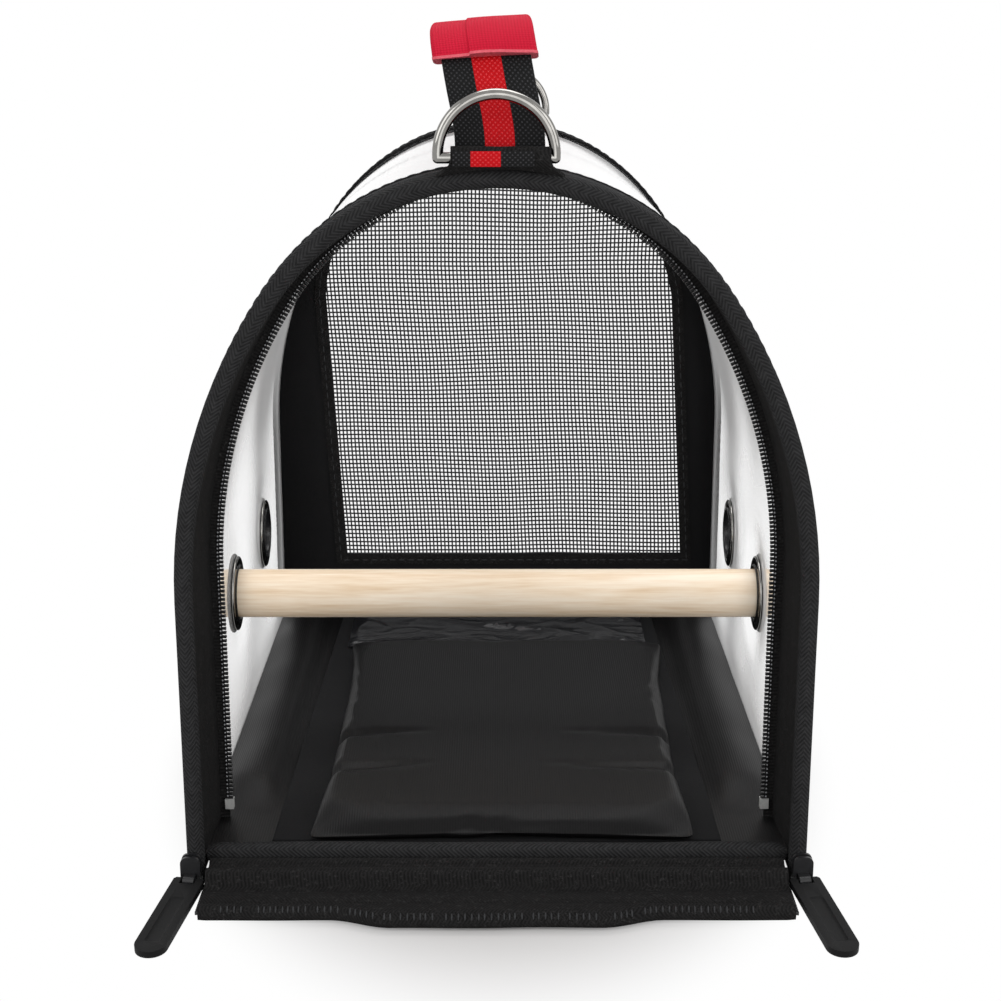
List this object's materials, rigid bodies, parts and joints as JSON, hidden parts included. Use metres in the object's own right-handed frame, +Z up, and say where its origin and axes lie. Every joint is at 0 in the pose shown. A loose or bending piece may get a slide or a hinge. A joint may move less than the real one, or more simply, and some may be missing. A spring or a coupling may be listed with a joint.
{
  "type": "bird travel carrier",
  "caption": "Soft arched bird carrier with clear sides, mesh rear panel, zip door folded open under the base, dowel perch, floor pad and a padded top handle with ring anchors.",
  "frame": {"origin": "bottom centre of the arched tunnel, on the surface the base stands on", "axes": "+Z up, mouth faces -Y, the tunnel and the handle run along Y, the perch runs along X"},
  "size_m": [0.239, 0.3603, 0.299],
  "materials": {
    "black_polyester": "woven black polyester with a fine twill",
    "black_binding": "black herringbone tape, rolled and stitched",
    "black_mesh": "woven black polyester mesh",
    "clear_vinyl": "clear flexible vinyl sheet",
    "pad_fabric": "quilted satin-faced black polyester pad",
    "liner_film": "coated waterproof lining, shiny and creased",
    "base_board": "stiff plastic board",
    "zip_tape": "black woven zip tape",
    "zip_coil": "dark grey moulded nylon coil",
    "zip_metal": "black painted zinc alloy",
    "stop_metal": "bright crimped stop",
    "pull_rubber": "soft moulded black plastic, bare",
    "spring_wire": "spring steel wire",
    "ring_nickel": "polished nickel-plated steel",
    "eyelet_black": "black enamelled brass eyelet",
    "washer_nickel": "nickel-plated washer",
    "dowel_wood": "bare sanded beech dowel",
    "webbing_black": "woven black webbing with a red centre stripe",
    "wrap_red": "red woven fabric over soft padding"
  },
  "bodies": {
    "carrier": {"bottom_panel": "black_polyester", "base_binding": "black_binding", "base_board": "base_board", "floor_liner": "liner_film", "front_sill": "black_binding", "mouth_binding": "black_binding", "rear_binding": "black_binding", "front_hoop": "spring_wire", "rear_hoop": "spring_wire", "front_border": "black_polyester", "rear_border": "black_polyester", "inner_band": "black_polyester", "zipper_tape": "zip_tape", "zipper_coil": "zip_coil", "zipper_stops": "stop_metal", "clear_cover": "clear_vinyl", "rear_panel": "black_polyester", "rear_mesh": "black_mesh", "perch_eyelets": "eyelet_black", "spare_eyelets": "eyelet_black", "eyelet_washers": "washer_nickel", "front_tab": "webbing_black", "rear_tab": "webbing_black", "handle_strap": "webbing_black", "handle_wrap": "wrap_red"},
    "pad": {"floor_pad": "pad_fabric"},
    "perch": {"perch": "dowel_wood"},
    "hem": {"door_hem": "black_binding"},
    "door": {"door_border": "black_polyester", "door_mesh": "black_mesh", "door_tape": "zip_tape", "door_coil": "zip_coil"},
    "left_slider": {"left_slider": "zip_metal"},
    "right_slider": {"right_slider": "zip_metal"},
    "left_pull": {"left_pull": "pull_rubber"},
    "right_pull": {"right_pull": "pull_rubber"},
    "front_ring": {"front_d_ring": "ring_nickel"},
    "rear_ring": {"rear_d_ring": "ring_nickel"}
  },
  "joints": [
    {"name": "perch_slide", "type": "slide", "parent": "carrier", "child": "perch", "axis": [1, 0, 0], "range_m": [0, 0.235]},
    {"name": "pad_lift", "type": "slide", "parent": "carrier", "child": "pad", "axis": [0, 0, 1], "range_m": [0, 0.035]},
    {"name": "hem_fold", "type": "hinge", "parent": "carrier", "child": "hem", "pos_m": [0, -0.1512, 0.007], "axis": [-1, 0, 0], "range_deg": [0, 97.66]},
    {"name": "door_fold", "type": "hinge", "parent": "hem", "child": "door", "pos_m": [0, -0.17796, 0.0034], "axis": [-1, 0, 0], "range_deg": [0, 172.34]},
    {"name": "left_zip", "type": "slide", "parent": "carrier", "child": "left_slider", "axis": [0, 0, 1], "range_m": [0, 0.09]},
    {"name": "left_pull_swing", "type": "hinge", "parent": "left_slider", "child": "left_pull", "pos_m": [-0.108, -0.1598, 0.005], "axis": [-0.9877, 0.1564, 0], "range_deg": [0, 98]},
    {"name": "right_zip", "type": "slide", "parent": "carrier", "child": "right_slider", "axis": [0, 0, 1], "range_m": [0, 0.09]},
    {"name": "right_pull_swing", "type": "hinge", "parent": "right_slider", "child": "right_pull", "pos_m": [0.108, -0.1598, 0.005], "axis": [-0.9877, -0.1564, 0], "range_deg": [0, 98]},
    {"name": "front_ring_swing", "type": "hinge", "parent": "carrier", "child": "front_ring", "pos_m": [0, -0.1526, 0.25458], "axis": [1, 0, 0], "range_deg": [0, 150]},
    {"name": "rear_ring_swing", "type": "hinge", "parent": "carrier", "child": "rear_ring", "pos_m": [0, 0.1526, 0.25458], "axis": [-1, 0, 0], "range_deg": [0, 150]}
  ],
  "couplings": [
    {"joint": "door_fold", "follows": "hem_fold", "ratio": 1.7646}
  ]
}
